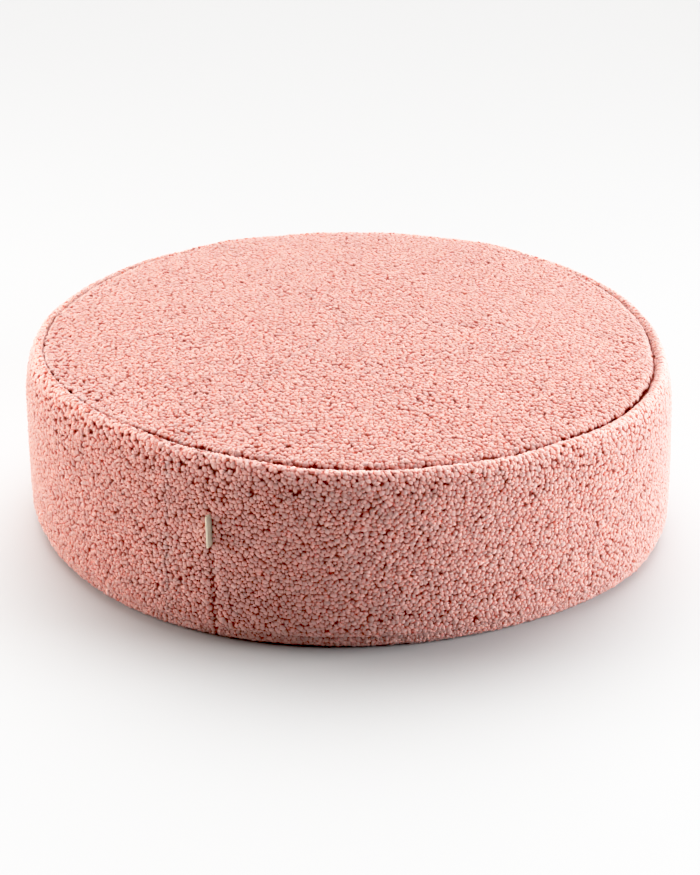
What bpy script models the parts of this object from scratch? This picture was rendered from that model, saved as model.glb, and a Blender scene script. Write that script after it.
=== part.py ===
"""Round floor ottoman in curly pile cloth.

A crowned top panel, a side band with the stuffing behind it, a bottom panel that rests on the
floor, and a folded tape tab caught in the band's upright seam.

Metres, +Z up. The origin is on the floor under the middle, and -Y is the front.
"""

import math
from typing import NamedTuple

import bmesh
import bpy
import numpy as np

# Driving sizes
DIAMETER = 0.800
CROWN_HEIGHT = 0.236
RIM_HEIGHT = 0.222

# The two round seams: where their stitches lie in the section
TOP_STITCH_RADIUS = 0.3762
BOTTOM_STITCH_RADIUS = 0.3890
BOTTOM_STITCH_HEIGHT = 0.0135

# Pile cloth, as thick as its curls stand, and the air between two pieces
TOP_CLOTH = 0.0105
BOTTOM_CLOTH = 0.0080
GAP = 0.0004

# How the cloth rolls into the top seam from either side
TOP_ROLL_REACH = 0.0115
TOP_ROLL_DROP = 0.0100
RIDGE_REACH = 0.0090
RIDGE_DROP = 0.0080
RIDGE_HEIGHT = 0.2185
SHOULDER_DROP = 0.0610

# How the band and the bottom panel roll into the bottom seam
FOOT_WALL_IN = 0.0020
FOOT_WALL_HEIGHT = 0.0270
FOOT_RIDGE_HEIGHT = 0.0150
BOTTOM_ROLL_REACH = 0.0110
BOTTOM_ROLL_DROP = 0.0115
CLOTH_RISE_REACH = 0.0300

# The band's ends meet in one upright seam, left of the front, that leans a little as it rises
SEAM_AZIMUTH = math.radians(248.3)
SEAM_AZIMUTH_HEIGHT = 0.080
SEAM_LEAN_PER_METRE = math.radians(7.0)
SEAM_DEPTH = 0.0045
SEAM_HALF_WIDTH = 0.0045

# Small waves that the stitches pull into the cloth on either side of the top seam
PUCKER_HEIGHT = 0.0012
PUCKER_WAVES = (13, 19)
PUCKER_SPAN = 0.0300

# The folded tape tab, which follows the upright seam
TAB_HEIGHT = 0.0365
TAB_FOOT = 0.1184
TAB_OUT = 0.0070
TAB_ROOT_DEPTH = 0.0034
TAB_TAPE = 0.0008
TAB_FOLD_RADIUS = 0.0009

# Steps round the ottoman, drawn together at the upright seam by this share over this angle
SECTORS = 96
CROWDING = 0.86
CROWDED_ANGLE = 0.15

# Steps along the parts of the sections
FACE_STEPS = 10
ROLL_STEPS = 4
RIDGE_STEPS = 3
SHOULDER_STEPS = 5
WALL_STEPS = 5
UPPER_INNER_STEPS = 4
LOWER_INNER_STEPS = 8

# Steps along and up the tape
LEG_STEPS = 4
FOLD_STEPS = 6
TAPE_ROWS = 6

# Finishes
ROSE = (0.72, 0.36, 0.31)
CREAM = (0.74, 0.69, 0.55)
PILE_ROUGHNESS = 0.95
TAPE_ROUGHNESS = 0.85


class Section(NamedTuple):
    """How far the filling pushes one section out or up from the even shape, in millimetres."""

    azimuth_deg: int
    shoulder_mm: float
    foot_mm: float
    rise_mm: float


UNEVENNESS = (
    Section(0, -9, 1, -1),
    Section(30, -2, 0, -1),
    Section(60, 3, 0, 3),
    Section(90, 2, 0, 1),
    Section(120, 0, 0, 0),
    Section(150, -4, 0, -1),
    Section(180, -1, 1, -2),
    Section(210, 1, 3, 2),
    Section(240, -3, 6, 1),
    Section(270, 1, -4, -1),
    Section(300, 1, -5, 0),
    Section(330, 2, 8, -1),
)

RADIUS = DIAMETER / 2
RIM_RADIUS = TOP_STITCH_RADIUS - TOP_ROLL_REACH
CROWN_RISE = CROWN_HEIGHT - RIM_HEIGHT
CROWN_POWER = 2.2
MILLIMETRE = 0.001
MERGE_DISTANCE = 1e-6


def clear_scene():
    """Empties the file that the script runs in."""
    for old in list(bpy.data.objects):
        bpy.data.objects.remove(old)


def cloth(name, colour, roughness):
    """A plain woven or pile finish."""
    material = bpy.data.materials.new(name)
    material.use_nodes = True
    shader = material.node_tree.nodes["Principled BSDF"]
    shader.inputs["Base Color"].default_value = (*colour, 1.0)
    shader.inputs["Roughness"].default_value = roughness
    shader.inputs["Metallic"].default_value = 0.0
    return material


def smooth_step(low, high, value):
    """0 below low, 1 above high, and an even S between them."""
    share = min(max((value - low) / (high - low), 0.0), 1.0)
    return share * share * (3 - 2 * share)


def ellipse_arc(centre, radii, start_deg, end_deg, steps):
    """Points (radius, height) along part of an ellipse in the section."""
    angles = np.radians(np.linspace(start_deg, end_deg, steps + 1))
    return [(centre[0] + radii[0] * math.cos(a), centre[1] + radii[1] * math.sin(a)) for a in angles]


def crown(radius):
    """Height of the top panel's face: a shallow dome that falls faster near its rim."""
    return CROWN_HEIGHT - CROWN_RISE * (radius / RIM_RADIUS) ** CROWN_POWER


def bottom_cloth_top(radius):
    """Height of the bottom panel's inner side, which rises with the cloth as it nears the seam."""
    start = BOTTOM_STITCH_RADIUS - CLOTH_RISE_REACH
    rise = smooth_step(start, BOTTOM_STITCH_RADIUS, radius)
    return BOTTOM_CLOTH + (BOTTOM_STITCH_HEIGHT - BOTTOM_CLOTH) * rise


def hidden(points):
    """Section points on an inner side, which keep still when the outer side puckers."""
    return [(radius, height, 0.0) for radius, height in points]


def shown(points):
    """Section points on an outer side, which pucker."""
    return [(radius, height, 1.0) for radius, height in points]


def top_panel_section():
    """From the middle of the face out over the rolled rim, and back along the inner side."""
    face = [(r, crown(r)) for r in np.linspace(0.0, RIM_RADIUS, FACE_STEPS + 1)[:-1]]
    roll = ellipse_arc(
        (RIM_RADIUS, RIM_HEIGHT - TOP_ROLL_DROP), (TOP_ROLL_REACH, TOP_ROLL_DROP),
        90, 0, ROLL_STEPS)
    inner_radii = np.linspace(TOP_STITCH_RADIUS, 0.0, UPPER_INNER_STEPS + 1)
    inner = [(r, crown(r) - TOP_CLOTH) for r in inner_radii]
    return shown(face + roll[:-1]) + hidden(roll[-1:] + inner)


def band_section():
    """From the middle of the filling's top out to the top seam, down the wall and back below."""
    stitch = TOP_STITCH_RADIUS + GAP
    top_radii = np.linspace(0.0, stitch, UPPER_INNER_STEPS + 1)
    filling_top = [(r, crown(r) - TOP_CLOTH - GAP) for r in top_radii]
    ridge_radius = stitch + RIDGE_REACH
    ridge = ellipse_arc(
        (ridge_radius, RIDGE_HEIGHT - RIDGE_DROP), (RIDGE_REACH, RIDGE_DROP), 180, 90, RIDGE_STEPS)
    shoulder_foot = RIDGE_HEIGHT - SHOULDER_DROP
    shoulder = ellipse_arc(
        (ridge_radius, shoulder_foot), (RADIUS - ridge_radius, SHOULDER_DROP),
        90, 0, SHOULDER_STEPS)
    wall = [
        (RADIUS - FOOT_WALL_IN * share**2, shoulder_foot + (FOOT_WALL_HEIGHT - shoulder_foot) * share)
        for share in np.linspace(0, 1, WALL_STEPS + 1)[1:-1]
    ]
    lower_stitch = BOTTOM_STITCH_RADIUS + GAP
    foot = ellipse_arc(
        (lower_stitch, FOOT_WALL_HEIGHT),
        (RADIUS - FOOT_WALL_IN - lower_stitch, FOOT_WALL_HEIGHT - FOOT_RIDGE_HEIGHT),
        0, -90, ROLL_STEPS)
    foot_radii = np.linspace(BOTTOM_STITCH_RADIUS, 0.0, LOWER_INNER_STEPS + 1)
    filling_foot = [(r, bottom_cloth_top(r) + GAP) for r in foot_radii]
    outer = ridge[1:] + shoulder[1:] + wall + foot[:-1]
    return hidden(filling_top) + shown(outer) + hidden(foot[-1:] + filling_foot)


def bottom_panel_section():
    """From the middle of the flat face on the floor, out round the rim and back inside."""
    flat_radius = BOTTOM_STITCH_RADIUS - BOTTOM_ROLL_REACH
    roll = ellipse_arc(
        (flat_radius, BOTTOM_ROLL_DROP), (BOTTOM_ROLL_REACH, BOTTOM_ROLL_DROP), -90, 0, ROLL_STEPS)
    inner_radii = np.linspace(BOTTOM_STITCH_RADIUS, 0.0, LOWER_INNER_STEPS + 1)
    inner = [(r, bottom_cloth_top(r)) for r in inner_radii]
    return hidden([(0.0, 0.0), (flat_radius / 2, 0.0)] + roll + inner)


def unevenness(azimuth):
    """The table's columns at this azimuth, on smooth curves through its rows, in metres."""
    rows = len(UNEVENNESS)
    place = (math.degrees(azimuth) % 360) / 360 * rows
    first = int(place)
    share = place - first
    near = [np.array(UNEVENNESS[(first + step) % rows][1:], float) for step in (-1, 0, 1, 2)]
    before, here, after, beyond = near
    slope = (after - before) / 2
    next_slope = (beyond - here) / 2
    bend = 3 * (after - here) - 2 * slope - next_slope
    twist = 2 * (here - after) + slope + next_slope
    return (here + slope * share + bend * share**2 + twist * share**3) * MILLIMETRE


def from_seam(azimuth):
    """The angle from the upright seam, between half a turn back and half a turn on."""
    return (azimuth - SEAM_AZIMUTH + math.pi) % (2 * math.pi) - math.pi


def crowded(azimuth):
    """Draws the even steps round the ottoman together at the upright seam."""
    angle = from_seam(azimuth)
    drawn = CROWDING * CROWDED_ANGLE
    stretch = math.pi / (math.pi - drawn * math.tanh(math.pi / CROWDED_ANGLE))
    return SEAM_AZIMUTH + stretch * (angle - drawn * math.tanh(angle / CROWDED_ANGLE))


def settled(radius, azimuth, height):
    """Where the uneven filling moves a point of the even shape. The floor and the middle stay."""
    shoulder, foot, rise = unevenness(azimuth)
    level = smooth_step(0.0, RIM_HEIGHT, height)
    reach = foot + (shoulder - foot) * level
    moved = radius + reach * radius / RADIUS
    return moved, azimuth, height + rise * level * (radius / RADIUS) ** 2


def on_wall(radius, height):
    """1 on the band's wall, falling to none at the two round seams."""
    above_foot = smooth_step(FOOT_RIDGE_HEIGHT, FOOT_WALL_HEIGHT, height)
    below_top = smooth_step(TOP_STITCH_RADIUS + RIDGE_REACH, RADIUS, radius)
    return above_foot * below_top


def seam_pull(radius, azimuth, height):
    """How far the upright seam draws the band in, deepest in its middle."""
    across = from_seam(azimuth) * RADIUS / SEAM_HALF_WIDTH
    return SEAM_DEPTH * math.exp(-(across**2)) * on_wall(radius, height)


def seam_lean(height):
    """How far round the upright seam leans at this height."""
    return SEAM_LEAN_PER_METRE * (SEAM_AZIMUTH_HEIGHT - height)


def pucker(radius, azimuth, height):
    """How far the stitches lift or sink the cloth beside the top seam."""
    from_stitch = math.hypot(radius - TOP_STITCH_RADIUS, height - RIM_HEIGHT)
    wave = sum(math.sin(count * azimuth + count) for count in PUCKER_WAVES) / len(PUCKER_WAVES)
    return PUCKER_HEIGHT * wave * math.exp(-((from_stitch / PUCKER_SPAN) ** 2))


def placed(radius, azimuth, height, give, on_band):
    """A point of the finished shape: puckered, drawn in at the seam and settled on its filling."""
    if give:
        height += pucker(radius, azimuth, height)
    if give and on_band:
        pull = seam_pull(radius, azimuth, height)
        azimuth += seam_lean(height) * on_wall(radius, height)
        radius -= pull
    radius, azimuth, height = settled(radius, azimuth, height)
    return radius * math.cos(azimuth), radius * math.sin(azimuth), height


def turned_panel(name, section, material, collection, on_band=False):
    """Turns a section round the upright axis from the seam, and lays each point as the cloth lies."""
    work = bmesh.new()
    give_layer = work.verts.layers.float.new("give")
    corners = []
    for radius, height, give in section:
        corner = work.verts.new((radius, 0.0, height))
        corner[give_layer] = give
        corners.append(corner)
    edges = [work.edges.new(pair) for pair in zip(corners[:-1], corners[1:])]
    bmesh.ops.spin(
        work, geom=corners + edges, cent=(0, 0, 0), axis=(0, 0, 1),
        angle=2 * math.pi, steps=SECTORS, use_merge=True)
    bmesh.ops.remove_doubles(work, verts=work.verts, dist=MERGE_DISTANCE)
    for vert in work.verts:
        x, y, height = vert.co
        azimuth = crowded(SEAM_AZIMUTH + math.atan2(y, x))
        vert.co = placed(math.hypot(x, y), azimuth, height, vert[give_layer], on_band)
    bmesh.ops.recalc_face_normals(work, faces=work.faces)
    if work.calc_volume(signed=True) < 0:
        bmesh.ops.reverse_faces(work, faces=work.faces)
    mesh = bpy.data.meshes.new(name)
    work.to_mesh(mesh)
    work.free()
    return add_object(name, mesh, material, collection)


def add_object(name, mesh, material, collection):
    """One smooth-shaded object of the ottoman."""
    mesh.materials.append(material)
    mesh.shade_smooth()
    made = bpy.data.objects.new(name, mesh)
    collection.objects.link(made)
    return made


def tab_path():
    """The tape seen from above: out along one leg, round the fold and back along the other.

    Each point is (out from the seam's bottom, aside from its middle)."""
    reach = TAB_ROOT_DEPTH + TAB_OUT
    leg = np.linspace(0.0, reach - TAB_FOLD_RADIUS, LEG_STEPS + 1)
    fold = ellipse_arc((leg[-1], 0.0), (TAB_FOLD_RADIUS, TAB_FOLD_RADIUS), -90, 90, FOLD_STEPS)
    near_leg = [(out, -TAB_FOLD_RADIUS) for out in leg[:-1]]
    far_leg = [(out, TAB_FOLD_RADIUS) for out in leg[-2::-1]]
    return near_leg + fold + far_leg


def tape_tab(material, collection):
    """The folded tape: a grid bent to the hairpin path, whose root follows the leaning seam."""
    path = tab_path()
    work = bmesh.new()
    bmesh.ops.create_grid(work, x_segments=len(path) - 1, y_segments=TAPE_ROWS, size=0.5)
    for vert in work.verts:
        out, aside = path[round((vert.co.x + 0.5) * (len(path) - 1))]
        level = TAB_FOOT + TAB_HEIGHT * (vert.co.y + 0.5)
        root, azimuth, height = settled(
            RADIUS - TAB_ROOT_DEPTH, SEAM_AZIMUTH + seam_lean(level), level)
        radius = root + out
        vert.co = (
            radius * math.cos(azimuth) - aside * math.sin(azimuth),
            radius * math.sin(azimuth) + aside * math.cos(azimuth),
            height,
        )
    bmesh.ops.recalc_face_normals(work, faces=work.faces)
    mesh = bpy.data.meshes.new("tape_tab")
    work.to_mesh(mesh)
    work.free()
    tab = add_object("tape_tab", mesh, material, collection)
    solidify = tab.modifiers.new("Tape thickness", "SOLIDIFY")
    solidify.thickness = TAB_TAPE
    solidify.offset = 0.0
    return tab


def main():
    clear_scene()
    ottoman = bpy.data.collections.new("round_ottoman")
    bpy.context.scene.collection.children.link(ottoman)
    pile = cloth("Rose curly pile", ROSE, PILE_ROUGHNESS)
    tape = cloth("Cream cotton tape", CREAM, TAPE_ROUGHNESS)
    turned_panel("top_panel", top_panel_section(), pile, ottoman)
    turned_panel("side_band", band_section(), pile, ottoman, on_band=True)
    turned_panel("bottom_panel", bottom_panel_section(), pile, ottoman)
    tape_tab(tape, ottoman)


main()
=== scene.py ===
"""Looks of a round floor ottoman in rose curly pile cloth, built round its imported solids.

The ground cloth of each panel is a surface turned round the upright axis. On it stand the curls of
the pile, small knots of yarn that are carried to places scattered over the cloth. Metres, +Z up,
-Y is the front.
"""

import math
from typing import NamedTuple

import bmesh
import bpy
import numpy as np
from bpy.props import FloatProperty, FloatVectorProperty, IntProperty, PointerProperty
from mathutils import Matrix, Vector


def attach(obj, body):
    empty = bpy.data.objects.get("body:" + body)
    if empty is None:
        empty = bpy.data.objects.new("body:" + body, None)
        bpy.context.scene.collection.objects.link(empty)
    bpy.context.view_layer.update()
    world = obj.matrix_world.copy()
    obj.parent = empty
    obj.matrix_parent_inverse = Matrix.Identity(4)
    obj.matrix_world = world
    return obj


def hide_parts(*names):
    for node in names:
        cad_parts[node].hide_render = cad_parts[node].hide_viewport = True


bl_info = {
    "name": "Round floor ottoman",
    "version": (1, 0, 0),
    "blender": (4, 5, 0),
    "location": "View3D > Sidebar > Ottoman",
    "description": "Curly pile cloth, seams, tape tab and studio of a round floor ottoman",
    "category": "Object",
}

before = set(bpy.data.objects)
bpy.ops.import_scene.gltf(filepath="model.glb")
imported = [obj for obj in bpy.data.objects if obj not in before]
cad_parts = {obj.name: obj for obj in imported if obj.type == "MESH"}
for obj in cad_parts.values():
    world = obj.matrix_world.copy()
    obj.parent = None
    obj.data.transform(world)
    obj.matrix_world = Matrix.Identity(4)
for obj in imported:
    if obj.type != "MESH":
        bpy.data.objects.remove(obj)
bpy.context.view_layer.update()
MILLIMETRE = 0.001


class Section(NamedTuple):
    """How far the filling pushes one section out or up from the even shape, in millimetres."""

    azimuth_deg: int
    shoulder_mm: float
    foot_mm: float
    rise_mm: float


UNEVENNESS = (
    Section(0, -9, 1, -1),
    Section(30, -2, 0, -1),
    Section(60, 3, 0, 3),
    Section(90, 2, 0, 1),
    Section(120, 0, 0, 0),
    Section(150, -4, 0, -1),
    Section(180, -1, 1, -2),
    Section(210, 1, 3, 2),
    Section(240, -3, 6, 1),
    Section(270, 1, -4, -1),
    Section(300, 1, -5, 0),
    Section(330, 2, 8, -1),
)

# Waves along the top seam, counted round the ottoman
PUCKER_WAVES = (13, 19)

# Loose curls on the left: the middle of their stretch and its spread in degrees, how far they
# heap up beside the seam, how far below the ridge they are largest, and how far they reach
LOOSE_AZIMUTH = 209
LOOSE_TURN = 41
HEAP_SPAN = 0.0085
LOOSE_DROP = 0.010
LOOSE_SPAN = 0.016

# Curls on the band's ridge, paler from brushed-up ends and from a painted highlight where light
# catches the ridge's top: how far beyond the ridge's top they are palest, and how far they reach
CREST_OUT = 0.0030
CREST_SPAN = 0.0130

# From which share of the tab's height curls start to fill the seam more
FILLED_FROM = 0.6

# A curl's neighbours in the lattice: rows on, and columns on from an even row and an odd one
NEIGHBOURS = ((0, -1, -1), (0, 1, 1), (-1, -1, 0), (-1, 0, 1), (1, -1, 0), (1, 0, 1))

# The lattice's wander: its wavelength and reach in pitches, and the range of its wavelengths
WANDER_RANGE = (0.6, 1.5)
WANDER_LENGTH = 30
WANDER = 0.3

# Lost curls: rounds of drawing them, and how far a curl spreads over a lost neighbour
THINNING_ROUNDS = 3
SPREAD = 0.68

# A knot: its sides, its top, its rings as (radius, height), and how far its points stray
KNOT_SIDES = 5
KNOT_TOP = 0.50
KNOT_RINGS = ((1.02, 0.20), (1.22, -0.50))
STRAY_ASIDE = 0.07
STRAY_UP = 0.06
LEAN = 0.15
LEAST_FACING = 0.2

# The range of a curl's room in pitches, of its height as a share, of how proud it stands in
# metres, and of the bare strip's width as a share
ROOM = (0.20, 0.72)
TALL = (0.85, 1.15)
PROUD = (-0.0006, 0.0005)
RAGGED = (0.3, 1.3)

# Points along the crown and along the wall in the sections
CROWN_POINTS = 80
WALL_POINTS = 40

# Steps of the ground cloth, and its depth below the face as a share of the pile's depth
SECTORS = 96
FACE_ROWS = 50
INNER_ROWS = 8
UNDER_ROWS = 40
RIM_ROWS = 10
SINK = 0.9
RIM_SINK = 0.5

# The air between two pieces, and where the bottom rim starts in degrees
GAP = 0.0004
RIM_START = 38

# Steps of the folded tape
LEG_POINTS = 12
FOLD_STEPS = 10
TAPE_ROWS = 25

# Sizes of the patterns on yarn, ground cloth and tape, and one metre's scale for a wave
YARN_SPOT = 0.0016
LOOP = 0.0050
RIB = 0.0011
WAVE_METRE = 0.314

# Numbers of the colour sockets on a mix node
MIX_A, MIX_B, MIX_RESULT = 6, 7, 2

# Names of the finishes
PILE_FINISH = "Tumbled boucle pile, rose"
GROUND_FINISH = "Knitted pile ground, rose"
TAPE_FINISH = "Woven cotton twill tape, cream"

# Studio: the camera's sensor in millimetres, half the floor, the softboxes and the tone curve
SENSOR = 36.0
HALF_FLOOR = 30.0
SOFTBOX = 1.2
SOFTBOX_AIM = (0, 0, 0.1)
CURVE_STEPS = 12

# The shortest vector that has a direction, and how near two points are one
SHORTEST = 1e-12
MERGE_DISTANCE = 1e-6


def length(name, description, default):
    """A size in metres that the panel shows."""
    return number(name, description, default, unit="LENGTH", precision=4)


def number(name, description, default, **more):
    """A plain number that the panel shows."""
    return FloatProperty(name=name, description=description, default=default, **more)


def angle(name, description, degrees):
    """An angle that the panel shows, given in degrees."""
    return number(name, description, math.radians(degrees), subtype="ANGLE")


def colour(name, description, code):
    """A colour that the panel shows, given as an sRGB hex code."""
    return FloatVectorProperty(
        name=name, description=description, default=linear(code), subtype="COLOR", min=0.0, max=1.0)


def linear(code):
    """An sRGB hex code as linear red, green and blue."""
    parts = [int(code[place:place + 2], 16) / 255 for place in (1, 3, 5)]
    return tuple(p / 12.92 if p <= 0.04045 else ((p + 0.055) / 1.055) ** 2.4 for p in parts)


class OttomanShape(bpy.types.PropertyGroup):
    """The panels, the two round seams and the upright one."""

    diameter: length("Diameter", "Across the curls of the side band", 0.800)
    crown_height: length("Crown height", "Floor to the middle of the top panel", 0.236)
    rim_height: length("Rim height", "Floor to the top panel's rim", 0.222)
    crown_power: number("Crown power", "How late the crown falls towards its rim", 2.2)
    top_stitch: length("Top stitch radius", "Middle to the top seam's stitches", 0.3762)
    top_roll_reach: length("Top roll reach", "How far in the top panel starts to roll", 0.0115)
    top_roll_drop: length("Top roll drop", "How far the top panel rolls down", 0.0100)
    ridge_reach: length("Ridge reach", "Stitches to the top of the band's ridge", 0.0090)
    ridge_drop: length("Ridge drop", "Top of the band's ridge down to the stitches", 0.0080)
    ridge_height: length("Ridge height", "Floor to the top of the band's ridge", 0.2185)
    shoulder_drop: length("Shoulder drop", "Top of the ridge down to the upright wall", 0.0610)
    foot_in: length("Foot in", "How far the wall draws in at its foot", 0.0020)
    foot_height: length("Foot height", "Where the foot starts to round", 0.0270)
    foot_ridge: length("Foot ridge", "Floor to the band's lower edge", 0.0150)
    bottom_stitch: length("Bottom stitch radius", "Middle to the bottom seam's stitches", 0.3890)
    bottom_roll_reach: length("Bottom roll reach", "How far out the bottom panel rolls", 0.0110)
    bottom_roll_rise: length("Bottom roll rise", "How far the bottom panel rolls up", 0.0115)
    rim_swell: length("Rim swell", "How far its curls swell that roll outwards", 0.0030)
    cloth_thickness: length("Cloth thickness", "The pile cloth with its curls", 0.0105)
    seam_azimuth: angle("Seam azimuth", "Where the band's ends meet", 248.3)
    seam_lean: angle("Seam lean", "How far round the seam leans for each metre of its rise", 7.0)
    seam_azimuth_height: length("Seam height", "Where the seam has that azimuth", 0.0800)
    seam_depth: length("Seam depth", "How far the upright seam draws the band in", 0.0045)
    seam_half_width: length("Seam half width", "How wide that channel is", 0.0045)
    pucker_height: length("Pucker height", "Small waves along the top seam", 0.0012)
    pucker_span: length("Pucker span", "How far from the stitches the waves die out", 0.0300)


class OttomanPile(bpy.types.PropertyGroup):
    """The curls of the pile."""

    pitch: length("Pitch", "From curl to curl", 0.0055)
    depth: length("Depth", "From the ground cloth to the top of the curls", 0.0038)
    crevice: length("Crevice", "Half the gap between two curls", 0.00014)
    unlike: number("Unlike sizes", "How much the curls' widths differ", 0.32)
    shake: number("Shake", "How far a curl strays, as a share of the pitch", 0.37)
    bare: length("Bare strip", "Cloth without curls beside a round seam", 0.0002)
    bare_top: length("Bare strip on top", "The same on the top panel, whose cloth is pulled", 0.0040)
    cover: number("Cover", "How far curls fill the upright seam above the tab", 0.9)
    cover_below: number("Cover below", "How far they fill it below the tab", 0.50)
    # Partly brushed-up fibre and partly a painted highlight where light catches the ridge's top.
    ridge_fluff_and_highlight: number("Fluff", "How much paler the curls on the band's ridge are", 1.3)
    missing: number("Missing", "Share of curls that grew into a neighbour", 0.005)
    heaped: length("Heaped", "How far loose curls fill the top seam on the left", 0.0075)
    loose: number("Loose", "How much larger curls are along the seam on the left", 0.34)
    seed: IntProperty(name="Seed", description="Which scatter of curls is drawn", default=7)
    # Tips and roots are lit and shaded copies of one yarn: the root colour is painted shade for the
    # hollows between the curls.
    tip: colour("Curl tips", "Rose yarn where the light falls on it", "#d8ada7")
    root: colour("Curl roots", "The same yarn deep in the pile", "#bf7a70")
    # Darker and redder than the yarn: painted shade where the ground shows between the curls and in
    # the seam's groove.
    ground: colour("Ground cloth", "The knitted ground between the curls", "#92463a")
    sheen: colour("Fuzz", "Loose fibre ends that catch light at the edges", "#ffeae6")


class OttomanTape(bpy.types.PropertyGroup):
    """The folded tape tab."""

    height: length("Height", "The tape's width, which stands upright", 0.0365)
    foot: length("Foot", "Floor to the tab's lower edge", 0.1184)
    out: length("Out", "How far the tab stands out of the pile", 0.0070)
    root_depth: length("Root depth", "How deep it starts in the seam's channel", 0.0034)
    thickness: length("Thickness", "One layer of tape", 0.0008)
    fold_radius: length("Fold radius", "The bend at its outer edge", 0.0009)
    cream: colour("Tape", "Unbleached cotton", "#f4e8d2")


class OttomanStudio(bpy.types.PropertyGroup):
    """Camera, floor and lights."""

    lens: number("Lens", "Focal length in millimetres", 79.63)
    distance: length("Distance", "Camera to the point that it looks at", 2.4449)
    elevation: angle("Elevation", "Camera above the horizon", 24.8)
    roll: angle("Roll", "The camera's turn about its view", 0.8)
    aim_side: length("Aim aside", "The looked-at point's X", -0.0004)
    aim_height: length("Aim height", "The looked-at point's height", 0.0780)
    floor: colour("Floor", "Matt pale paper, lit until it looks white", "#dbdad9")
    left_power: number("Left", "Left softbox, watts", 52.0)
    right_power: number("Right", "Right softbox, watts", 75.0)
    sky: number("Sky", "Brightness of the middle of the sky light", 6.4)
    sky_edge: number("Sky edge", "Cosine of the angle at which the sky light ends", 0.66)
    sky_back: angle("Sky back", "How far the sky light leans to the back", 38)
    shoulder: number("Shoulder", "Brightness at which the tone curve starts to bend", 0.39)
    black: number("Black", "Brightness that the tone curve turns to black", 0.031)


def shape():
    """The ottoman's sizes."""
    return bpy.context.scene.ottoman_shape


def smooth_step(low, high, value):
    """0 below low, 1 above high, and an even S between them."""
    share = np.clip((value - low) / (high - low), 0.0, 1.0)
    return share * share * (3 - 2 * share)


def ellipse_arc(centre, radii, start_deg, end_deg, steps=24):
    """(radius, height) = centre + radii times cosine and sine of an angle that runs evenly."""
    angles = np.radians(np.linspace(start_deg, end_deg, steps + 1))
    return np.column_stack(
        [centre[0] + radii[0] * np.cos(angles), centre[1] + radii[1] * np.sin(angles)])


def crown(radius):
    """Crown height less the crown's rise times (radius / rim radius) to the crown power."""
    s = shape()
    rise = s.crown_height - s.rim_height
    return s.crown_height - rise * (radius / (s.top_stitch - s.top_roll_reach)) ** s.crown_power


def top_profile():
    """The top panel from its middle out over its rolled rim to the stitches."""
    s = shape()
    rim = s.top_stitch - s.top_roll_reach
    radii = np.linspace(0.0, rim, CROWN_POINTS)
    face = np.column_stack([radii, crown(radii)])
    roll = ellipse_arc(
        (rim, s.rim_height - s.top_roll_drop), (s.top_roll_reach, s.top_roll_drop), 90, 0)
    return np.vstack([face, roll[1:]])


def band_profile():
    """The side band from the top seam over its ridge and shoulder, down the wall to its foot."""
    s = shape()
    outer = s.diameter / 2
    ridge_radius = s.top_stitch + s.ridge_reach
    shoulder_foot = s.ridge_height - s.shoulder_drop
    ridge = ellipse_arc(
        (ridge_radius, s.ridge_height - s.ridge_drop), (s.ridge_reach, s.ridge_drop), 180, 90)
    shoulder = ellipse_arc(
        (ridge_radius, shoulder_foot), (outer - ridge_radius, s.shoulder_drop), 90, 0)
    share = np.linspace(0, 1, WALL_POINTS)[1:-1]
    wall = np.column_stack(
        [outer - s.foot_in * share**2, shoulder_foot + (s.foot_height - shoulder_foot) * share])
    foot = ellipse_arc(
        (s.bottom_stitch, s.foot_height),
        (outer - s.foot_in - s.bottom_stitch, s.foot_height - s.foot_ridge), 0, -90)
    return np.vstack([ridge, shoulder[1:], wall, foot])


def rim_profile():
    """The bottom panel's rolled rim, from the bottom seam down to the floor."""
    s = shape()
    return ellipse_arc(
        (s.bottom_stitch - s.bottom_roll_reach + s.rim_swell, s.bottom_roll_rise),
        (s.bottom_roll_reach, s.bottom_roll_rise), RIM_START, -90)


def lengths_along(profile):
    """Distance along the profile to each of its points."""
    steps = np.linalg.norm(np.diff(profile, axis=0), axis=1)
    return np.concatenate([[0.0], np.cumsum(steps)])


def from_seam(azimuth):
    """The angle from the upright seam, between half a turn back and half a turn on."""
    return (azimuth - shape().seam_azimuth + np.pi) % (2 * np.pi) - np.pi


def unevenness(azimuth):
    """The table's columns at each azimuth, on smooth curves through its rows, in metres."""
    table = np.array(UNEVENNESS, float)[:, 1:] * MILLIMETRE
    rows = len(table)
    place = np.degrees(azimuth) % 360 / 360 * rows
    first = np.floor(place).astype(int)
    share = (place - first)[..., None]
    before, here, after, beyond = (table[(first + step) % rows] for step in (-1, 0, 1, 2))
    slope = (after - before) / 2
    next_slope = (beyond - here) / 2
    bend = 3 * (after - here) - 2 * slope - next_slope
    twist = 2 * (here - after) + slope + next_slope
    moved = here + slope * share + bend * share**2 + twist * share**3
    return moved[..., 0], moved[..., 1], moved[..., 2]


def pucker(radius, azimuth, height):
    """Sines round the seam, times a bell curve of the distance from the stitches."""
    s = shape()
    from_stitch = np.hypot(radius - s.top_stitch, height - s.rim_height)
    wave = sum(np.sin(count * azimuth + count) for count in PUCKER_WAVES) / len(PUCKER_WAVES)
    return s.pucker_height * wave * np.exp(-((from_stitch / s.pucker_span) ** 2))


def on_wall(radius, height):
    """1 on the band's wall, falling to none at the two round seams."""
    s = shape()
    above_foot = smooth_step(s.foot_ridge, s.foot_height, height)
    return above_foot * smooth_step(s.top_stitch + s.ridge_reach, s.diameter / 2, radius)


def on_left(azimuth):
    """A bell curve of the azimuth, round the middle of the stretch with loose curls."""
    away = (np.degrees(azimuth) - LOOSE_AZIMUTH + 180) % 360 - 180
    return np.exp(-((away / LOOSE_TURN) ** 2))


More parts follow.
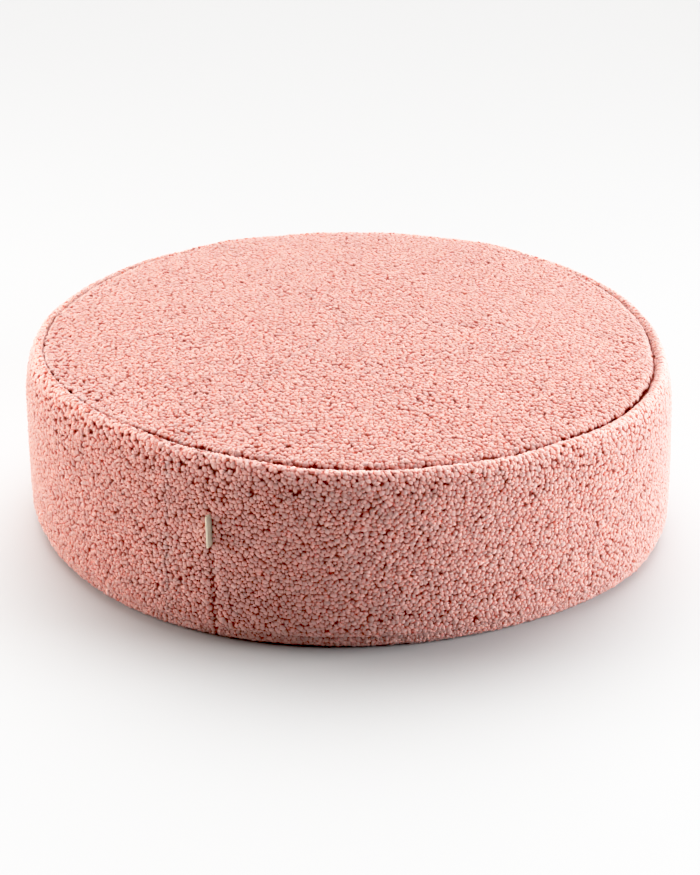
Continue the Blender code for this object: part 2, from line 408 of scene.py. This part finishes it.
def heap(radius, azimuth, height):
    """How far loose curls fill the top seam's groove, a bell curve of the distance from it."""
    s = shape()
    from_stitch = np.hypot(radius - s.top_stitch, height - s.rim_height + s.top_roll_drop)
    fill = np.exp(-((from_stitch / HEAP_SPAN) ** 2))
    return bpy.context.scene.ottoman_pile.heaped * fill * on_left(azimuth)


def seam_pull(radius, azimuth, height):
    """A bell curve across the upright seam, on the wall. Above the tab curls fill its channel."""
    s = shape()
    pile, tape = bpy.context.scene.ottoman_pile, bpy.context.scene.ottoman_tape
    tab_top = tape.foot + tape.height
    above = smooth_step(tape.foot + FILLED_FROM * tape.height, tab_top, height)
    filled = pile.cover_below + (pile.cover - pile.cover_below) * above
    across = from_seam(azimuth) * s.diameter / 2 / s.seam_half_width
    return s.seam_depth * (1 - filled) * np.exp(-(across**2)) * on_wall(radius, height)


def seam_lean(height):
    """How far round the upright seam leans at this height."""
    s = shape()
    return s.seam_lean * (s.seam_azimuth_height - height)


def laid(radius, azimuth, height, give=True, on_band=False):
    """X, Y, Z of the even shape's points once puckered, drawn in and settled on the filling."""
    s = shape()
    radius, azimuth, height = np.broadcast_arrays(radius, azimuth, height)
    if give:
        height = height + pucker(radius, azimuth, height) + heap(radius, azimuth, height)
    if give and on_band:
        pull = seam_pull(radius, azimuth, height)
        azimuth = azimuth + seam_lean(height) * on_wall(radius, height)
        radius = radius - pull
    shoulder, foot, rise = unevenness(azimuth)
    level = smooth_step(0.0, s.rim_height, height)
    out = radius / (s.diameter / 2)
    moved = radius + (foot + (shoulder - foot) * level) * out
    up = height + rise * level * out**2
    return np.stack([moved * np.cos(azimuth), moved * np.sin(azimuth), up], axis=-1)


class Face:
    """An outer face as a function of two distances along its cloth, across and along.

    On a round panel they are X and Y of the flat cut. On a band they are the distance round from
    the upright seam, clockwise from above, and the distance down the profile."""

    def __init__(self, profile, on_band=False, is_round=False):
        self.profile = profile
        self.lengths = lengths_along(profile)
        self.on_band = on_band
        self.is_round = is_round

    @property
    def long(self):
        """The whole length along the profile."""
        return self.lengths[-1]

    def polar(self, across, along):
        """Distance along the profile, and azimuth."""
        if self.is_round:
            return np.hypot(across, along), np.arctan2(along, across)
        return along, shape().seam_azimuth - across / (shape().diameter / 2)

    def point(self, across, along):
        """X, Y, Z of the face at these distances."""
        reach, azimuth = self.polar(across, along)
        radius = np.interp(reach, self.lengths, self.profile[:, 0])
        height = np.interp(reach, self.lengths, self.profile[:, 1])
        return laid(radius, azimuth, height, on_band=self.on_band)

    def axes(self, across, along, step=0.0008):
        """Point, two tangents and the normal, from small differences along the cloth."""
        first = self.point(across + step, along) - self.point(across - step, along)
        second = self.point(across, along + step) - self.point(across, along - step)
        normal = unit(np.cross(first, second))
        first = unit(first)
        return self.point(across, along), first, np.cross(normal, first), normal


def unit(vectors):
    """The vectors at length 1."""
    return vectors / np.maximum(np.linalg.norm(vectors, axis=-1, keepdims=True), SHORTEST)


def waves(points, size, rng, count=12):
    """Smooth noise between about -1 and 1: sines along random directions, of this wavelength."""
    directions = unit(rng.normal(size=(count, points.shape[-1]))) * (2 * np.pi / size)
    directions = directions * rng.uniform(*WANDER_RANGE, size=(count, 1))
    phases = rng.uniform(0, 2 * np.pi, count)
    return np.sin(points @ directions.T + phases).sum(axis=-1) / math.sqrt(count / 2)


def scattered(width, height, pitch, shake, rng):
    """A hexagonal lattice whose rows wander and whose points are shaken, so that no row shows.

    Returns an array (row, column, across and along). It has an even number of rows."""
    row_step = pitch * math.sqrt(3) / 2
    columns = max(int(round(width / pitch)), 1)
    rows = 2 * max(int(round(height / row_step / 2)), 1)
    column, row = np.meshgrid(np.arange(columns), np.arange(rows))
    across = (column + 0.5 * (row % 2) + 0.25) * width / columns
    along = (row + 0.5) * height / rows
    spots = np.stack([across, along], axis=-1)
    wander = np.stack([waves(spots, WANDER_LENGTH * pitch, rng) for _ in range(2)], axis=-1)
    return spots + WANDER * pitch * wander + rng.uniform(-shake, shake, spots.shape) * pitch


def beside(values, step):
    """The values of an array (row, column, ...) moved so that each spot finds its neighbour's."""
    rows, even_shift, odd_shift = step
    odd = (np.arange(len(values)) % 2).reshape(-1, *[1] * (values.ndim - 1)) == 1
    return np.where(odd, np.roll(values, (-rows, -odd_shift), axis=(0, 1)),
                    np.roll(values, (-rows, -even_shift), axis=(0, 1)))


def thinned(chance, rng):
    """Which spots keep their curl: each loses it by this chance, but never two neighbours."""
    draw = rng.uniform(size=chance.shape)
    draw = np.where(draw < chance, draw, 1.0)
    kept = np.ones(chance.shape, bool)
    for _ in range(THINNING_ROUNDS):
        least = np.min([beside(draw, step) for step in NEIGHBOURS], axis=0)
        lost = draw < least
        near_lost = np.any([beside(lost, step) for step in NEIGHBOURS], axis=0)
        draw = np.where(lost | near_lost, 1.0, draw)
        kept &= ~lost
    return kept


def rooms(spots, kept, width, height, unlike, rng):
    """Each spot's six neighbours: which way they lie, and how far the border to each is.

    The border to a neighbour divides the way to it by the two spots' weights, which differ by
    about the share unlike. Where a neighbour is missing the curl spreads nearly to its spot. The
    lattice joins up at its sides, which only border spots notice."""
    weight = np.exp(rng.normal(0, unlike, spots.shape[:2]))
    period = np.array([width, height])
    ways, borders = [], []
    for step in NEIGHBOURS:
        away = beside(spots, step) - spots
        away = away - period * np.round(away / period)
        reach = np.linalg.norm(away, axis=-1)
        ways.append(np.arctan2(away[..., 1], away[..., 0]))
        half_way = weight / (weight + beside(weight, step))
        borders.append(reach * np.where(beside(kept, step), half_way, SPREAD))
    return np.stack(ways, axis=-1), np.stack(borders, axis=-1)


def make_mesh(name, points, faces, attributes=None):
    """A smooth mesh object from arrays of points and of faces that all have as many corners."""
    corners = faces.shape[1]
    mesh = bpy.data.meshes.new(name)
    mesh.vertices.add(len(points))
    mesh.vertices.foreach_set("co", points.astype(np.float32).ravel())
    mesh.loops.add(faces.size)
    mesh.loops.foreach_set("vertex_index", faces.astype(np.int32).ravel())
    mesh.polygons.add(len(faces))
    mesh.polygons.foreach_set("loop_start", np.arange(0, faces.size, corners, dtype=np.int32))
    mesh.polygons.foreach_set("use_smooth", np.ones(len(faces), bool))
    mesh.update(calc_edges=True)
    for label, values in (attributes or {}).items():
        layer = mesh.attributes.new(label, "FLOAT", "POINT")
        layer.data.foreach_set("value", values.astype(np.float32).ravel())
    made = bpy.data.objects.new(name, mesh)
    bpy.context.scene.collection.objects.link(made)
    return made


def turned_mesh(name, rows):
    """A closed skin from an array (row, sector, xyz) whose first and last rows are poles."""
    count, sectors, _ = rows.shape
    index = np.arange(count * sectors).reshape(count, sectors)
    here, below = index[:-1], index[1:]
    faces = np.stack(
        [here, below, np.roll(below, -1, axis=1), np.roll(here, -1, axis=1)], axis=-1)
    made = make_mesh(name, rows.reshape(-1, 3), faces.reshape(-1, 4))
    work = bmesh.new()
    work.from_mesh(made.data)
    bmesh.ops.remove_doubles(work, verts=work.verts, dist=MERGE_DISTANCE)
    bmesh.ops.recalc_face_normals(work, faces=work.faces)
    if work.calc_volume(signed=True) < 0:
        bmesh.ops.reverse_faces(work, faces=work.faces)
    work.to_mesh(made.data)
    work.free()
    return made


def knot_template():
    """A dome: a top point, a ring at each (radius, height), turned half a step, and a flat foot."""
    points = [(0.0, 0.0, KNOT_TOP)]
    for turn, (radius, height) in enumerate(KNOT_RINGS):
        angles = 2 * np.pi * (np.arange(KNOT_SIDES) + 0.5 * turn) / KNOT_SIDES
        points += [(radius * math.cos(a), radius * math.sin(a), height) for a in angles]
    upper = 1 + np.arange(KNOT_SIDES)
    lower = 1 + KNOT_SIDES + np.arange(KNOT_SIDES)
    next_upper, next_lower = np.roll(upper, -1), np.roll(lower, -1)
    faces = np.vstack([
        np.column_stack([np.zeros(KNOT_SIDES, int), upper, next_upper]),
        np.column_stack([upper, lower, next_upper]),
        np.column_stack([next_upper, lower, next_lower]),
        np.column_stack([np.full(KNOT_SIDES - 2, lower[0]), lower[2:], lower[1:-1]]),
    ])
    return np.array(points), faces


def knots(name, places, axes, room, heights, tones_and_ridge_highlight, rng):
    """One mesh of many knots of yarn.

    Each is the template, spun about the cloth's normal, its rings stretched each way to the
    borders of its room, each point nudged, leaned a little, scaled to its height and moved to
    its place just under the face. None reaches below the floor."""
    template, template_faces = knot_template()
    count = len(places)
    tangents, asides, normals = axes
    ways, borders = room
    spin = rng.uniform(0, 2 * np.pi, count)[:, None]
    bearing = np.arctan2(template[:, 1], template[:, 0]) + spin
    towards = np.maximum(np.cos(bearing[:, :, None] - ways[:, None]), LEAST_FACING)
    reach = (borders[:, None] / towards).min(axis=-1) * np.hypot(template[:, 0], template[:, 1])
    x = reach * (np.cos(bearing) + rng.normal(0, STRAY_ASIDE, bearing.shape))
    y = reach * (np.sin(bearing) + rng.normal(0, STRAY_ASIDE, bearing.shape))
    up_share = template[:, 2] + rng.normal(0, STRAY_UP, bearing.shape)
    lean = rng.normal(0, LEAN, (count, 2))
    up = unit(normals + lean[:, :1] * tangents + lean[:, 1:] * asides)
    points = places[:, None] + x[..., None] * tangents[:, None] + y[..., None] * asides[:, None]
    points += (heights[:, None] * up_share)[..., None] * up[:, None]
    faces = template_faces[None] + (np.arange(count) * len(template))[:, None, None]
    # The tone carries random tone and the ridge's painted highlight.
    tone = np.repeat(tones_and_ridge_highlight[:, None], len(template), axis=1)
    points[..., 2] = np.maximum(points[..., 2], 0.0)
    foot = KNOT_RINGS[-1][1]
    # tip: the share of the height up the knot, from which the pile finish paints shade towards the
    # foot.
    tip = np.clip((up_share - foot) / (KNOT_TOP - foot), 0, 1)
    return make_mesh(
        name, points.reshape(-1, 3), faces.reshape(-1, 3), {"tip": tip, "tone": tone})


def add_node(tree, kind, settings=None, sockets=None):
    """Adds one node with its settings, and sets or links each named socket."""
    made = tree.nodes.new(kind)
    for name, value in (settings or {}).items():
        setattr(made, name, value)
    for name, value in (sockets or {}).items():
        if isinstance(value, bpy.types.NodeSocket):
            tree.links.new(value, made.inputs[name])
        else:
            made.inputs[name].default_value = value
    return made


def new_material(name):
    """An empty node material with its Principled shader."""
    made = bpy.data.materials.new(name)
    made.use_nodes = True
    return made, made.node_tree, made.node_tree.nodes["Principled BSDF"]


def opaque(rgb):
    """A colour with full alpha."""
    return (*rgb, 1.0)


def join_shader(tree, shader, body, bump, sockets):
    """Links the colour and the bump to the shader, and sets its other sockets."""
    tree.links.new(body.outputs[MIX_RESULT], shader.inputs["Base Color"])
    tree.links.new(bump.outputs["Normal"], shader.inputs["Normal"])
    for name, value in sockets.items():
        shader.inputs[name].default_value = value


def curly_pile():
    """Boucle pile: looped polyester yarn, knitted in and tumbled until it knots.

    The tips are pale and matt; down towards its foot each knot turns darker and redder, which is
    painted shade for the hollows between the curls. Loose fibre ends glow at the edges.
    The yarn's turns give each knot small bright and dark spots. They are drawn 1.6 mm apart, a
    little coarser than real ones, so that they show."""
    pile = bpy.context.scene.ottoman_pile
    made, tree, shader = new_material(PILE_FINISH)
    place = add_node(tree, "ShaderNodeTexCoord").outputs["Object"]
    tip = add_node(tree, "ShaderNodeAttribute", {"attribute_name": "tip"}).outputs["Fac"]
    tone = add_node(tree, "ShaderNodeAttribute", {"attribute_name": "tone"}).outputs["Fac"]
    # Painted shade: from the tip colour down to the darker, redder root colour towards each knot's
    # foot.
    depth = add_node(
        tree, "ShaderNodeMapRange", {"interpolation_type": "SMOOTHSTEP"},
        {"Value": tip, "From Min": 0.40, "From Max": 0.84}).outputs["Result"]
    yarn_colour_with_painted_shade = add_node(
        tree, "ShaderNodeMix", {"data_type": "RGBA"},
        {0: depth, MIX_A: opaque(pile.root), MIX_B: opaque(pile.tip)}).outputs[MIX_RESULT]
    # Random tone, and on the band's ridge a painted highlight, make the curls paler.
    paler = add_node(
        tree, "ShaderNodeMapRange", {},
        {"Value": tone, "From Max": 2.0, "To Min": 0.90, "To Max": 1.30}).outputs["Result"]
    body = add_node(
        tree, "ShaderNodeMix", {"data_type": "RGBA", "blend_type": "MULTIPLY"},
        {0: 1.0, MIX_A: yarn_colour_with_painted_shade, MIX_B: paler})
    yarn = add_node(
        tree, "ShaderNodeTexNoise", {},
        {"Vector": place, "Scale": 1 / YARN_SPOT, "Detail": 2.0, "Roughness": 0.6})
    bump = add_node(
        tree, "ShaderNodeBump", {},
        {"Height": yarn.outputs["Fac"], "Strength": 0.6, "Distance": 0.0008})
    shader.subsurface_method = "BURLEY"
    join_shader(tree, shader, body, bump, {
        "Roughness": 0.95,
        "Specular IOR Level": 0.15,
        "Subsurface Weight": 0.9,
        "Subsurface Radius": (1.0, 0.50, 0.40),
        "Subsurface Scale": 0.0065,
        "Sheen Weight": 0.05,
        "Sheen Roughness": 0.4,
        "Sheen Tint": opaque(pile.sheen),
    })
    return made


def ground_cloth():
    """Weft-knitted polyester ground, brushed, with a lumpy loop pattern. Its colour, darker and
    redder than the yarn, is painted shade for the hollows between the curls and for the top seam's
    groove.

    The loops are drawn 5 mm apart, coarser than real ones, so that they show in the hollows."""
    pile = bpy.context.scene.ottoman_pile
    made, tree, shader = new_material(GROUND_FINISH)
    place = add_node(tree, "ShaderNodeTexCoord").outputs["Object"]
    loops = add_node(
        tree, "ShaderNodeTexVoronoi", {"feature": "SMOOTH_F1"},
        {"Vector": place, "Scale": 1 / LOOP, "Smoothness": 0.3})
    bump = add_node(
        tree, "ShaderNodeBump", {"invert": True},
        {"Height": loops.outputs["Distance"], "Strength": 1.0, "Distance": 0.003})
    # The loops run between the root colour and the ground colour, both painted shade for the hollows
    # between the curls.
    body = add_node(
        tree, "ShaderNodeMix", {"data_type": "RGBA"},
        {0: loops.outputs["Distance"], MIX_A: opaque(pile.root), MIX_B: opaque(pile.ground)})
    join_shader(tree, shader, body, bump, {"Roughness": 1.0, "Specular IOR Level": 0.1})
    return made


def cotton_tape():
    """Cotton twill tape, woven and unbleached: a fine diagonal rib and a matt, creamy face.

    The ribs are drawn 1.1 mm apart, coarser than real ones, so that they show."""
    tape = bpy.context.scene.ottoman_tape
    made, tree, shader = new_material(TAPE_FINISH)
    place = add_node(tree, "ShaderNodeTexCoord").outputs["Object"]
    rib = add_node(
        tree, "ShaderNodeTexWave", {"wave_type": "BANDS", "bands_direction": "DIAGONAL"},
        {"Vector": place, "Scale": WAVE_METRE / RIB, "Distortion": 1.5, "Detail": 1.0})
    shade = add_node(
        tree, "ShaderNodeMapRange", {},
        {"Value": rib.outputs["Fac"], "To Min": 0.86, "To Max": 1.04}).outputs["Result"]
    body = add_node(
        tree, "ShaderNodeMix", {"data_type": "RGBA", "blend_type": "MULTIPLY"},
        {0: 1.0, MIX_A: opaque(tape.cream), MIX_B: shade})
    bump = add_node(
        tree, "ShaderNodeBump", {},
        {"Height": rib.outputs["Fac"], "Strength": 0.6, "Distance": 0.0003})
    join_shader(tree, shader, body, bump, {"Roughness": 0.85})
    return made


FINISHES = {PILE_FINISH: curly_pile, GROUND_FINISH: ground_cloth, TAPE_FINISH: cotton_tape}


def dress(made, finish, node=None):
    """Gives a piece its finish, sets it on the body, and hides the imported node that it stands for.
    """
    made.data.materials.append(bpy.data.materials.get(finish) or FINISHES[finish]())
    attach(made, "root")
    if node:
        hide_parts(node)


def sunk_rows(face, reaches, sink):
    """Rows of a turned ground cloth: the face at these distances along, sunk below its curls."""
    azimuths = shape().seam_azimuth + 2 * np.pi * np.arange(SECTORS) / SECTORS
    reach, azimuth = np.meshgrid(reaches, azimuths, indexing="ij")
    if face.is_round:
        across, along = reach * np.cos(azimuth), reach * np.sin(azimuth)
    else:
        across, along = (shape().seam_azimuth - azimuth) * shape().diameter / 2, reach
    place, _, _, normal = face.axes(across, along)
    return place - sink * normal


def inner_rows(radii, heights):
    """Rows of a hidden inner side, at these radii and heights."""
    azimuths = shape().seam_azimuth + 2 * np.pi * np.arange(SECTORS) / SECTORS
    radius, azimuth = np.meshgrid(radii, azimuths, indexing="ij")
    height = np.meshgrid(heights, azimuths, indexing="ij")[0]
    return laid(radius, azimuth, height, give=False)


def padded_ground(node, parts):
    """The ground cloth of a panel or of the band: one skin from its parts, soft and padded."""
    ground = turned_mesh(f"{node}_cloth", np.concatenate(parts))
    dress(ground, GROUND_FINISH, node)


def loosened(face, spots):
    """How much larger the curls are at these spots.

    They are largest along the top seam on the left, and fall off along a bell curve of the height
    and another of the azimuth."""
    s = shape()
    place = face.point(spots[:, 0], spots[:, 1])
    azimuth = np.arctan2(place[:, 1], place[:, 0])
    from_seam_height = (place[:, 2] - s.ridge_height + LOOSE_DROP) / LOOSE_SPAN
    from_seam_radius = (np.hypot(place[:, 0], place[:, 1]) - s.top_stitch) / LOOSE_SPAN
    near = np.exp(-(from_seam_height**2) - np.minimum(from_seam_radius, 0) ** 2)
    return 1 + bpy.context.scene.ottoman_pile.loose * near * on_left(azimuth)


def on_ridge(place):
    """A bell curve of the distance from the top of the band's ridge."""
    s = shape()
    radius = np.hypot(place[:, 0], place[:, 1]) - s.top_stitch - s.ridge_reach - CREST_OUT
    reach = np.hypot(radius, place[:, 2] - s.ridge_height) / CREST_SPAN
    return np.exp(-(reach**2)) * (radius > -s.ridge_reach - CREST_OUT)


def pile_on(name, face, field, keep, count, rng):
    """Curls on a face, in as many meshes as count says, each a wedge of the ottoman.

    The field is the lattice's width and height and the shift of its corner, and keep says
    which spots get a curl. A curl's top lies about in the face. Fewer stand where they are
    larger, and those on the band's ridge are paler, partly as their loose ends are brushed up
    and partly as a painted highlight where light catches the ridge's top."""
    pile = bpy.context.scene.ottoman_pile
    width, height, shift = field
    lattice = scattered(width, height, pile.pitch, pile.shake, rng)
    spots = lattice.reshape(-1, 2) - shift
    share = loosened(face, spots)
    kept = thinned(1 - (1 - pile.missing) * share.reshape(lattice.shape[:2]) ** -2, rng)
    ways, borders = rooms(lattice, kept, width, height, pile.unlike, rng)
    chosen = keep(spots) & kept.ravel()
    spots, share = spots[chosen], share[chosen]
    ways, borders = ways.reshape(-1, 6)[chosen], borders.reshape(-1, 6)[chosen]
    borders = np.clip(borders - pile.crevice, ROOM[0] * pile.pitch, ROOM[1] * pile.pitch)
    place, tangent, aside, normal = face.axes(spots[:, 0], spots[:, 1])
    tall = pile.depth * rng.uniform(*TALL, len(spots)) * (0.5 + 0.5 * share)
    proud = rng.uniform(*PROUD, len(spots))
    # Random tone, plus a painted highlight on the band's ridge.
    tones_and_ridge_highlight = rng.uniform(0, 1, len(spots)) + pile.ridge_fluff_and_highlight * on_ridge(place)
    roots = place + (proud - KNOT_TOP * tall)[:, None] * normal
    turn = np.arctan2(place[:, 1], place[:, 0]) % (2 * np.pi) / (2 * np.pi)
    wedge = (turn * count).astype(int)
    for piece in range(count):
        mine = wedge == piece
        made = knots(
            f"{name}_{piece + 1}", roots[mine], (tangent[mine], aside[mine], normal[mine]),
            (ways[mine], borders[mine]), tall[mine], tones_and_ridge_highlight[mine], rng)
        dress(made, PILE_FINISH)


class OTTOMAN_OT_top_panel(bpy.types.Operator):
    """Makes the crowned top panel: its ground cloth and the curls on it"""

    bl_idname = "ottoman.top_panel"
    bl_label = "Top panel"

    def execute(self, context):
        s, pile = shape(), context.scene.ottoman_pile
        rng = np.random.default_rng(pile.seed)
        face = Face(top_profile(), is_round=True)
        outer = sunk_rows(face, np.linspace(0, face.long, FACE_ROWS), SINK * pile.depth)
        radii = np.linspace(s.top_stitch - pile.depth, 0, INNER_ROWS)
        inner = inner_rows(radii, crown(radii) - s.cloth_thickness)
        padded_ground("top_panel", [outer, inner])

        def within(spots):
            """Spots inside the top seam, less a bare strip of uneven width."""
            bare = pile.bare_top * rng.uniform(*RAGGED, len(spots))
            return np.hypot(spots[:, 0], spots[:, 1]) < face.long - bare

        side = 2 * face.long
        pile_on("top_panel_curls", face, (side, side, face.long), within, 3, rng)
        return {"FINISHED"}


class OTTOMAN_OT_side_band(bpy.types.Operator):
    """Makes the side band with the stuffing behind it, and the curls on it"""

    bl_idname = "ottoman.side_band"
    bl_label = "Side band"

    def execute(self, context):
        s, pile = shape(), context.scene.ottoman_pile
        rng = np.random.default_rng(pile.seed + 1)
        face = Face(band_profile(), on_band=True)
        outer = sunk_rows(face, np.linspace(0, face.long, FACE_ROWS), SINK * pile.depth)
        top_radii = np.linspace(0, s.top_stitch, INNER_ROWS)
        foot_radii = np.linspace(s.bottom_stitch - pile.depth, 0, INNER_ROWS)
        upper = inner_rows(top_radii, crown(top_radii) - s.cloth_thickness - GAP)
        lower = inner_rows(foot_radii, np.full(INNER_ROWS, s.foot_ridge))
        padded_ground("side_band", [upper, outer, lower])
        pile_on(
            "side_band_curls", face, (np.pi * s.diameter, face.long, 0.0),
            lambda spots: spots[:, 1] > pile.bare, 3, rng)
        return {"FINISHED"}


class OTTOMAN_OT_bottom_panel(bpy.types.Operator):
    """Makes the bottom panel that rests on the floor, and the curls on its rolled rim"""

    bl_idname = "ottoman.bottom_panel"
    bl_label = "Bottom panel"

    def execute(self, context):
        s, pile = shape(), context.scene.ottoman_pile
        rng = np.random.default_rng(pile.seed + 2)
        flat = s.bottom_stitch - s.bottom_roll_reach
        face = Face(rim_profile())
        under = inner_rows(np.linspace(0, flat, UNDER_ROWS), np.zeros(UNDER_ROWS))
        rim = sunk_rows(face, np.linspace(face.long, 0, RIM_ROWS), RIM_SINK * pile.depth)
        radii = np.linspace(s.bottom_stitch - 2 * pile.depth, 0, INNER_ROWS)
        above = inner_rows(radii, np.full(INNER_ROWS, face.profile[0, 1]))
        padded_ground("bottom_panel", [under, rim, above])
        low = face.long - pile.pitch / 2
        pile_on(
            "bottom_panel_curls", face, (np.pi * s.diameter, face.long, 0.0),
            lambda spots: spots[:, 1] < low, 1, rng)
        return {"FINISHED"}


class OTTOMAN_OT_tape_tab(bpy.types.Operator):
    """Makes the folded tape tab in the upright seam"""

    bl_idname = "ottoman.tape_tab"
    bl_label = "Tape tab"

    def execute(self, context):
        s, tape = shape(), context.scene.ottoman_tape
        reach = tape.root_depth + tape.out
        leg = np.linspace(0, reach - tape.fold_radius, LEG_POINTS)
        fold = ellipse_arc((leg[-1], 0), (tape.fold_radius, tape.fold_radius), -90, 90, FOLD_STEPS)
        near = np.column_stack([leg[:-1], np.full(LEG_POINTS - 1, -tape.fold_radius)])
        path = np.vstack([near, fold, near[::-1] * (1, -1)])
        share = np.linspace(0, 1, TAPE_ROWS)
        out, level = np.meshgrid(path[:, 0], share)
        aside = np.meshgrid(path[:, 1], share)[0]
        height = tape.foot + tape.height * level
        azimuth = s.seam_azimuth + seam_lean(height)
        root = laid(s.diameter / 2 - tape.root_depth, azimuth, height, give=False)
        flat = np.zeros_like(azimuth)
        outward = np.stack([np.cos(azimuth), np.sin(azimuth), flat], axis=-1)
        sideways = np.stack([-np.sin(azimuth), np.cos(azimuth), flat], axis=-1)
        points = root + out[..., None] * outward + aside[..., None] * sideways
        rows, columns = out.shape
        index = np.arange(rows * columns).reshape(rows, columns)
        faces = np.stack([index[:-1, :-1], index[:-1, 1:], index[1:, 1:], index[1:, :-1]], axis=-1)
        tab = make_mesh("tape_tab_cloth", points.reshape(-1, 3), faces.reshape(-1, 4))
        solidify = tab.modifiers.new("Tape thickness", "SOLIDIFY")
        solidify.thickness = tape.thickness
        solidify.offset = 0.0
        dress(tab, TAPE_FINISH, "tape_tab")
        return {"FINISHED"}


def add_softbox(name, place, watts, rgb):
    """A square softbox that faces the ottoman."""
    lamp = bpy.data.lights.new(name, "AREA")
    lamp.shape = "SQUARE"
    lamp.size = SOFTBOX
    lamp.energy = watts
    lamp.color = rgb
    made = bpy.data.objects.new(name, lamp)
    made.location = place
    towards = Vector(SOFTBOX_AIM) - Vector(place)
    made.rotation_euler = towards.to_track_quat("-Z", "Y").to_euler()
    bpy.context.scene.collection.objects.link(made)


class OTTOMAN_OT_studio(bpy.types.Operator):
    """Sets up the camera, the pale floor and the soft lights"""

    bl_idname = "ottoman.studio"
    bl_label = "Studio"

    def execute(self, context):
        studio = context.scene.ottoman_studio
        self.add_camera(context, studio)
        self.add_floor(studio)
        self.add_lights(context, studio)
        self.soften_highlights(context.scene.view_settings, studio.shoulder, studio.black)
        return {"FINISHED"}

    def soften_highlights(self, view, start, black):
        """A photographic shoulder: above its start the tone curve bends and levels out at white.

        Tone = x - (x - start)^2 / (4 (1 - start)), so that it starts with slope 1, and reaches
        white with slope 0 at x = 2 - start."""
        white = 2 - start
        view.view_transform = "Standard"
        view.look = "None"
        view.use_curve_mapping = True
        mapping = view.curve_mapping
        mapping.white_level = (white, white, white)
        mapping.black_level = (black, black, black)
        curve = mapping.curves[3]
        for light in np.linspace(0, white, CURVE_STEPS + 1)[1:-1]:
            over = max(light - start, 0.0)
            curve.points.new(light / white, light - over**2 / (4 * (1 - start)))
        mapping.update()

    def add_camera(self, context, studio):
        """A camera that looks along +Y and down, turned a little about its view."""
        aim = Vector((studio.aim_side, 0, studio.aim_height))
        back = Vector((0, -math.cos(studio.elevation), math.sin(studio.elevation)))
        data = bpy.data.cameras.new("Camera")
        data.lens = studio.lens
        data.sensor_width = SENSOR
        camera = bpy.data.objects.new("Camera", data)
        turn = (-back).to_track_quat("-Z", "Y").to_matrix().to_4x4()
        place = Matrix.Translation(aim + back * studio.distance)
        camera.matrix_world = place @ (turn @ Matrix.Rotation(studio.roll, 4, "Z"))
        context.scene.collection.objects.link(camera)
        context.scene.camera = camera

    def add_floor(self, studio):
        """A wide sheet of matt pale paper."""
        corners = HALF_FLOOR * np.array([(-1, -1, 0), (1, -1, 0), (1, 1, 0), (-1, 1, 0)])
        floor = make_mesh("studio_floor", corners, np.array([[0, 1, 2, 3]]))
        made, _, shader = new_material("Matt pale paper")
        shader.inputs["Base Color"].default_value = opaque(studio.floor)
        shader.inputs["Roughness"].default_value = 1.0
        shader.inputs["Specular IOR Level"].default_value = 0.0
        floor.data.materials.append(made)

    def add_lights(self, context, studio):
        """A bright patch of sky above and a little behind, and a softbox at either side."""
        world = bpy.data.worlds.new("Soft sky")
        world.use_nodes = True
        context.scene.world = world
        tree = world.node_tree
        back = tree.nodes["Background"]
        place = add_node(tree, "ShaderNodeTexCoord").outputs["Generated"]
        middle = (0.0, math.sin(studio.sky_back), math.cos(studio.sky_back))
        near = add_node(
            tree, "ShaderNodeVectorMath", {"operation": "DOT_PRODUCT"}, {0: place, 1: middle})
        strength = add_node(
            tree, "ShaderNodeMapRange", {"interpolation_type": "SMOOTHSTEP"},
            {"Value": near.outputs["Value"], "From Min": studio.sky_edge, "From Max": 1.0,
             "To Min": 0.0, "To Max": studio.sky})
        tree.links.new(strength.outputs["Result"], back.inputs["Strength"])
        back.inputs["Color"].default_value = (1, 1, 1, 1)
        add_softbox("Left softbox", (-2.3, 0.05, 0.6), studio.left_power, (1, 0.97, 0.94))
        add_softbox("Right softbox", (2.25, -0.35, 0.6), studio.right_power, (0.90, 0.97, 1))


class OTTOMAN_PT_panel(bpy.types.Panel):
    """Lists the ottoman's sizes, colours and pieces"""

    bl_label = "Round floor ottoman"
    bl_idname = "OTTOMAN_PT_panel"
    bl_space_type = "VIEW_3D"
    bl_region_type = "UI"
    bl_category = "Ottoman"

    def draw(self, context):
        for group in GROUPS:
            settings = getattr(context.scene, group)
            box = self.layout.box()
            for name in settings.__annotations__:
                box.prop(settings, name)
        for piece in PIECES:
            self.layout.operator(f"ottoman.{piece}")


GROUPS = {
    "ottoman_shape": OttomanShape,
    "ottoman_pile": OttomanPile,
    "ottoman_tape": OttomanTape,
    "ottoman_studio": OttomanStudio,
}
PIECES = ("studio", "top_panel", "side_band", "bottom_panel", "tape_tab")
CLASSES = (
    *GROUPS.values(),
    OTTOMAN_OT_top_panel,
    OTTOMAN_OT_side_band,
    OTTOMAN_OT_bottom_panel,
    OTTOMAN_OT_tape_tab,
    OTTOMAN_OT_studio,
    OTTOMAN_PT_panel,
)


def register():
    for each in CLASSES:
        bpy.utils.register_class(each)
    for name, group in GROUPS.items():
        setattr(bpy.types.Scene, name, PointerProperty(type=group))


def unregister():
    for name in GROUPS:
        delattr(bpy.types.Scene, name)
    for each in reversed(CLASSES):
        bpy.utils.unregister_class(each)


def main():
    register()
    for piece in PIECES:
        getattr(bpy.ops.ottoman, piece)()


if __name__ == "__main__":
    main()
